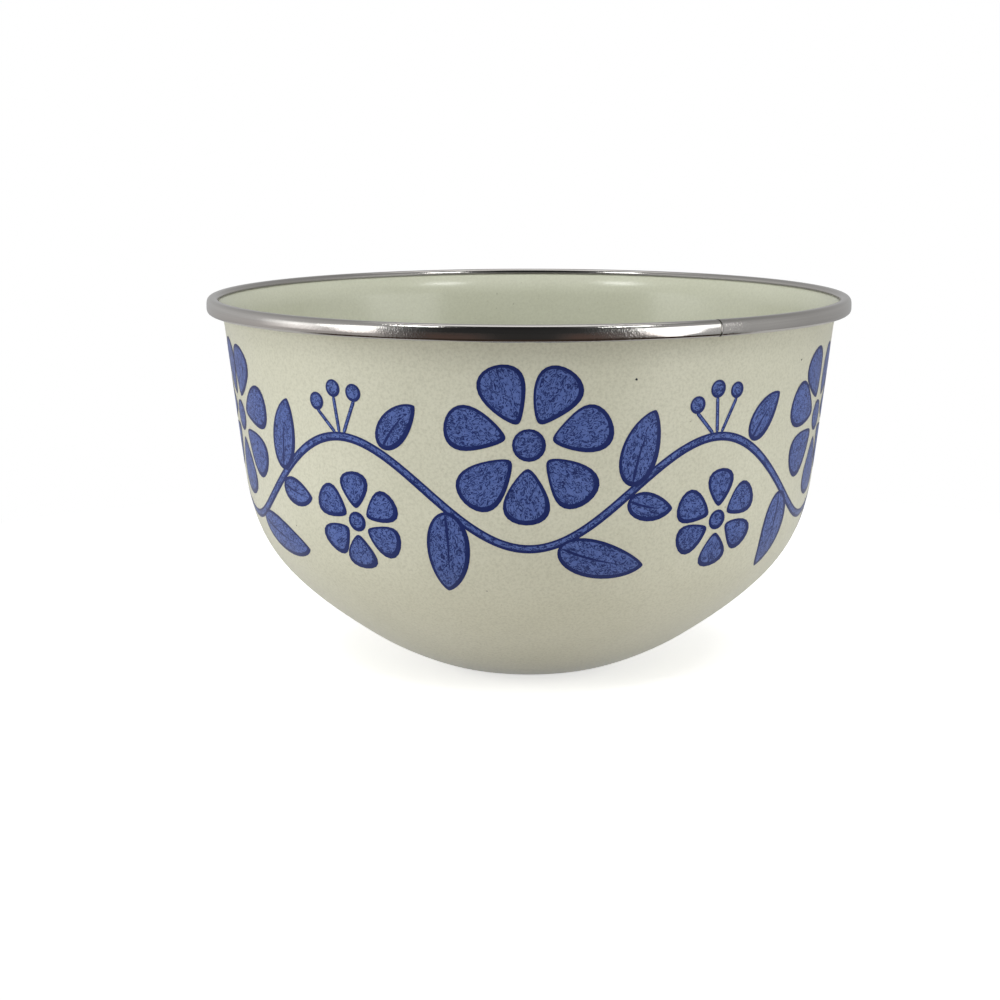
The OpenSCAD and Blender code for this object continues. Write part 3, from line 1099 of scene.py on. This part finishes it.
# %% Stops round the tent
# Each stop is a turn from the front, in degrees, and how bright the tent's wall is there
WALLS = [
    (-180, 0.45), (-116, 0.60), (-100, 0.66), (-91, 0.60), (-79, 0.60), (-54, 0.60), (-50, 0.32), (-45, 0.20),
    (-38, 0.06), (-28, 0.03), (0, 0.03), (18, 0.04), (28, 0.12), (33, 0.19), (39, 0.28), (45, 0.42),
    (60, 0.58), (73, 0.54), (80, 0.47), (91, 0.49), (114, 0.43), (180, 0.45),
]
# The same for a glow on the left wall at eye level
GLOW = [(-180, 0.0), (-108, 0.0), (-98, 0.50), (-88, 1.20), (-80, 0.90), (-72, 0.10), (-66, 0.0), (180, 0.0)]
# The same for the lower edge of the white panels, as the sine of its height above level; 1 is no panel
PANEL_FOOT = [
    (-180, 1.0), (-82, 1.0), (-79, 0.12), (-76, 0.0), (-72, -0.08), (-68, -0.14), (-60, -0.17), (-53, -0.12),
    (-51, 1.0), (34.5, 1.0), (37, 0.04), (39, -0.10), (42, -0.17), (46, -0.30), (50, -0.45), (54, -0.60),
    (58, -0.30), (62, -0.13), (66, -0.01), (70, 0.14), (73, 0.32), (76, 1.0), (180, 1.0),
]
# The same for their upper edge
PANEL_TOP = [(-180, 0.15), (-80, 0.15), (-72, 0.22), (-65, 0.33), (-50, 0.40), (30, 0.33), (180, 0.33)]
# The same for something brown that stands low in front
BROWN_TURNS = [
    (-180, 0.0), (-42, 0.2), (-33, 1.0), (-20, 0.9), (-10, 0.15), (8, 0.12), (16, 1.0), (24, 0.9), (34, 0.3),
    (60, 0.0), (180, 0.0),
]
print("tent stops:", len(WALLS), "panel stops:", len(PANEL_FOOT))

# %% Values that change with the turn
def ramp_round(tree, share, stops, low, high):
    """A value that changes with the turn, through stops of degrees and values between low and high."""
    ring = node(tree, "ValToRGB")
    tree.links.new(share, ring.inputs["Fac"])
    marks = ring.color_ramp.elements
    marks[0].position, marks[1].position = 0.0, 1.0
    for degrees, _ in stops[1:-1]:
        marks.new((degrees + 180) / 360)
    for mark, (_, value) in zip(marks, stops):
        mark.color = ((value - low) / (high - low),) * 3 + (1.0,)
    return math_node(tree, "MULTIPLY_ADD", ring.outputs["Color"], high - low, low)


def seen_directly(tree, path):
    """1 for a ray that comes straight from the camera, or through glass, and 0 for the rest."""
    straight, through = path.outputs["Is Camera Ray"], path.outputs["Is Transmission Ray"]
    return math_node(tree, "ADD", straight, through, clamp=True)


def mix_values(tree, factor, a, b):
    made = node(tree, "Mix", data_type="FLOAT")
    for socket, value in zip(made.inputs[0:1] + made.inputs[2:4], (factor, a, b)):
        if isinstance(value, float):
            socket.default_value = value
        else:
            tree.links.new(value, socket)
    return made.outputs[0]


print("ramps ready")

# %% Paint the tent
# Heights here are sines of the angle above level
WALLS_TOP = 2.0
WALL_BEST, WALL_FALL = 0.05, -0.45
GLOW_BEST, GLOW_HALF, GLOW_GONE = -0.01, 0.15, 1.3
PANEL_LEVEL, PANEL_EDGE = 2.2, 0.05
CEILING_BACK = math.radians(16)
CEILING_FROM, CEILING_EDGE, CEILING_LEVEL = 0.90, 0.06, 1.15
BROWN = (1.0, 0.66, 0.56, 1.0)
BROWN_FALL, BROWN_FROM = -12.0, -0.5
BROWN_COVERS, BROWN_LEVEL = -0.5, 0.085
AMBIENT_BELOW, AMBIENT_ABOVE = 0.37, 0.38
WHITE = (1.0, 1.0, 1.0, 1.0)


def paint_world():
    world = bpy.data.worlds.new("light_tent")
    bpy.context.scene.world = world
    world.use_nodes = True
    tree = world.node_tree
    tree.nodes.clear()
    way = node(tree, "TexCoord").outputs["Generated"]
    part = node(tree, "SeparateXYZ")
    tree.links.new(way, part.inputs["Vector"])
    rise = part.outputs["Z"]
    turn = math_node(tree, "ARCTAN2", part.outputs["X"], math_node(tree, "MULTIPLY", part.outputs["Y"], -1.0))
    share = math_node(tree, "MULTIPLY_ADD", turn, 0.5 / math.pi, 0.5)
    walls = ramp_round(tree, share, WALLS, 0.0, WALLS_TOP)
    fall = math_node(tree, "ABSOLUTE", math_node(tree, "SUBTRACT", rise, WALL_BEST))
    fall = math_node(tree, "MULTIPLY_ADD", fall, WALL_FALL, 1.0)
    seen = math_node(tree, "MULTIPLY", walls, fall)
    off_level = math_node(tree, "ABSOLUTE", math_node(tree, "SUBTRACT", rise, GLOW_BEST))
    level = near_middle(tree, off_level, GLOW_HALF, GLOW_GONE)
    seen = math_node(tree, "MULTIPLY_ADD", ramp_round(tree, share, GLOW, 0.0, 1.0), level, seen)
    foot = ramp_round(tree, share, PANEL_FOOT, -1.0, 1.0)
    over_foot = rise_over(tree, rise, foot, PANEL_EDGE)
    top = ramp_round(tree, share, PANEL_TOP, -1.0, 1.0)
    under_top = rise_over(tree, top, rise, PANEL_EDGE)
    seen = mix_values(tree, math_node(tree, "MULTIPLY", over_foot, under_top), seen, PANEL_LEVEL)
    overhead = math_node(tree, "MULTIPLY", part.outputs["Y"], math.sin(CEILING_BACK))
    overhead = math_node(tree, "MULTIPLY_ADD", rise, math.cos(CEILING_BACK), overhead)
    seen = mix_values(tree, rise_over(tree, overhead, CEILING_FROM, CEILING_EDGE), seen, CEILING_LEVEL)
    low = math_node(tree, "MULTIPLY_ADD", rise, BROWN_FALL, BROWN_FROM, clamp=True)
    brown = math_node(tree, "MULTIPLY", low, ramp_round(tree, share, BROWN_TURNS, 0.0, 1.0))
    seen = math_node(tree, "MULTIPLY", seen, math_node(tree, "MULTIPLY_ADD", brown, BROWN_COVERS, 1.0))
    seen = math_node(tree, "MULTIPLY_ADD", brown, BROWN_LEVEL, seen)
    path = node(tree, "LightPath")
    glossy = path.outputs["Is Glossy Ray"]
    white = seen_directly(tree, path)
    other = math_node(tree, "SUBTRACT", 1.0, math_node(tree, "ADD", white, glossy, clamp=True))
    upward = math_node(tree, "MULTIPLY_ADD", rise, 0.5, 0.5)
    ambient = math_node(tree, "MULTIPLY_ADD", upward, AMBIENT_ABOVE - AMBIENT_BELOW, AMBIENT_BELOW)
    strength = math_node(tree, "MULTIPLY_ADD", glossy, seen, white)
    strength = math_node(tree, "MULTIPLY_ADD", other, ambient, strength)
    background = node(tree, "Background")
    shown_brown = math_node(tree, "MULTIPLY", brown, glossy)
    tree.links.new(blend_colours(tree, shown_brown, WHITE, BROWN), background.inputs["Color"])
    tree.links.new(strength, background.inputs["Strength"])
    out = node(tree, "OutputWorld")
    tree.links.new(background.outputs[0], out.inputs["Surface"])


paint_world()
print("world:", bpy.context.scene.world.name)

# %% [markdown]
# The floor
#
# The floor is a white disc that glows just enough to match the white round it, and keeps the bowl's soft
# shadow. What the metal mirrors of it is a painted reflection, a glow that only glossy rays see: a dark table
# top in front, and white paper under, beside and behind the bowl. The light that it throws back on the wall
# of the bowl is a little warm.

# %% Painted reflection: white paper on a dark table
TABLE_MIRRORED = (0.045, 0.031, 0.024, 1.0)
PAPER_MIRRORED = (0.62, 0.62, 0.61, 1.0)
# In metres from the axis, and in radians from the front
PAPER_OUT, PAPER_OUT_FADE = 0.20, 0.04
UNDER_OUT, UNDER_FADE = 0.14, 0.02
ASIDE_FROM, BEHIND_FROM, TURN_FADE = 0.38, 1.15, 0.25


def painted_paper_reflection(tree):
    """Where the metal sees a painted reflection of white paper and not of the dark table top."""
    axis = use_group(tree, round_place)
    tree.links.new(node(tree, "TexCoord").outputs["Object"], axis.inputs["Vector"])
    turned = math_node(tree, "ABSOLUTE", axis.outputs["Turn"])
    close = rise_over(tree, PAPER_OUT, axis.outputs["Out"], PAPER_OUT_FADE)
    paper = math_node(tree, "MULTIPLY", close, rise_over(tree, turned, ASIDE_FROM, TURN_FADE))
    paper = math_node(tree, "MAXIMUM", paper, rise_over(tree, turned, BEHIND_FROM, TURN_FADE))
    return math_node(tree, "MAXIMUM", paper, rise_over(tree, UNDER_OUT, axis.outputs["Out"], UNDER_FADE))


print("paper from", round(math.degrees(ASIDE_FROM)), "degrees round the bowl")

# %% Floor
FLOOR_RADIUS, FLOOR_FADE, FLOOR_GAP = 0.38, 0.16, 0.0002
FLOOR_STEPS = 96
FLOOR_GREY = (0.85, 0.85, 0.85, 1.0)
FLOOR_BOUNCE = (0.80, 0.762, 0.72, 1.0)
FLOOR_GLOW = 0.62


def floor_white():
    material, tree, shader = start_material("floor_white")
    path = node(tree, "LightPath")
    colour = blend_colours(tree, path.outputs["Is Diffuse Ray"], FLOOR_GREY, FLOOR_BOUNCE)
    tree.links.new(colour, shader.inputs["Base Color"])
    shader.inputs["Roughness"].default_value = 1.0
    shader.inputs["Specular IOR Level"].default_value = 0.0
    seen = seen_directly(tree, path)
    shader.inputs["Emission Color"].default_value = WHITE
    tree.links.new(math_node(tree, "MULTIPLY", seen, FLOOR_GLOW), shader.inputs["Emission Strength"])
    away = node(tree, "VectorMath", operation="LENGTH")
    tree.links.new(node(tree, "TexCoord").outputs["Object"], away.inputs[0])
    fade = rise_over(tree, away.outputs["Value"], FLOOR_RADIUS - FLOOR_FADE, FLOOR_FADE)
    plain = node(tree, "Emission", {"Color": WHITE, "Strength": 1.0})
    # For glossy rays the floor glows with a painted reflection: a dark table top, white paper near the bowl
    mirrored = node(tree, "Emission")
    mirrored_colour = blend_colours(tree, painted_paper_reflection(tree), TABLE_MIRRORED, PAPER_MIRRORED)
    tree.links.new(mirrored_colour, mirrored.inputs["Color"])
    shown = shader
    fade_seen = math_node(tree, "MULTIPLY", fade, seen)
    for share, other in ((fade_seen, plain), (path.outputs["Is Glossy Ray"], mirrored)):
        mix = node(tree, "MixShader")
        tree.links.new(share, mix.inputs["Fac"])
        tree.links.new(shown.outputs[0], mix.inputs[1])
        tree.links.new(other.outputs[0], mix.inputs[2])
        shown = mix
    tree.links.new(shown.outputs[0], tree.nodes["Material Output"].inputs["Surface"])
    return material


def make_floor():
    turns = [math.tau * i / FLOOR_STEPS for i in range(FLOOR_STEPS)]
    rim = [(FLOOR_RADIUS * math.cos(turn), FLOOR_RADIUS * math.sin(turn), 0.0) for turn in turns]
    mesh = bpy.data.meshes.new("floor")
    mesh.from_pydata(rim, [], [tuple(range(FLOOR_STEPS))])
    mesh.materials.append(floor_white())
    floor = bpy.data.objects.new("floor", mesh)
    floor.location.z = -FLOOR_GAP
    bpy.context.scene.collection.objects.link(floor)


make_floor()
print("floor radius in mm:", FLOOR_RADIUS / MM)

# %% [markdown]
# The lamps
#
# Two broad soft panels light the sides, one hangs overhead and a weak one stands in front. The metal has
# its own panels in the painted tent, so these don't show in gloss. The two small lamps high in front do,
# because they make the pair of soft highlights on the enamel inside the back of the bowl.

# %% Lamps
AIM = Vector((0.0, 0.0, 0.07))


def add_lamp(name, turn, rise, distance, wide, tall, level, in_gloss):
    """A soft panel, placed by degrees round from the front and up, with its distance and size in metres.
    A level of 1 would light a face turned to it so that a colour shows as it is written."""
    lamp = bpy.data.lights.new(name, "AREA")
    lamp.shape, lamp.size, lamp.size_y = "RECTANGLE", wide, tall
    lamp.energy = level * math.pi ** 2 * distance ** 2
    panel = bpy.data.objects.new(name, lamp)
    a, e = math.radians(turn), math.radians(rise)
    way = Vector((math.sin(a) * math.cos(e), -math.cos(a) * math.cos(e), math.sin(e)))
    panel.location = AIM + way * distance
    panel.rotation_euler = way.to_track_quat("Z", "Y").to_euler()
    panel.visible_glossy = in_gloss
    bpy.context.scene.collection.objects.link(panel)
    print(name, "power in W:", round(lamp.energy, 1))


add_lamp("side_left", -74, 7, 1.4, 1.0, 1.0, 0.60, False)
add_lamp("side_right", 74, 7, 1.4, 1.0, 1.0, 0.45, False)
add_lamp("overhead", 0, 86, 1.4, 1.1, 1.1, 0.37, False)
add_lamp("front", 0, 50, 1.4, 0.9, 0.7, 0.20, False)
add_lamp("spot_left", -47.2, 48.8, 1.33, 0.26, 0.20, 0.10, True)
add_lamp("spot_right", 42.7, 48.2, 1.32, 0.26, 0.20, 0.10, True)
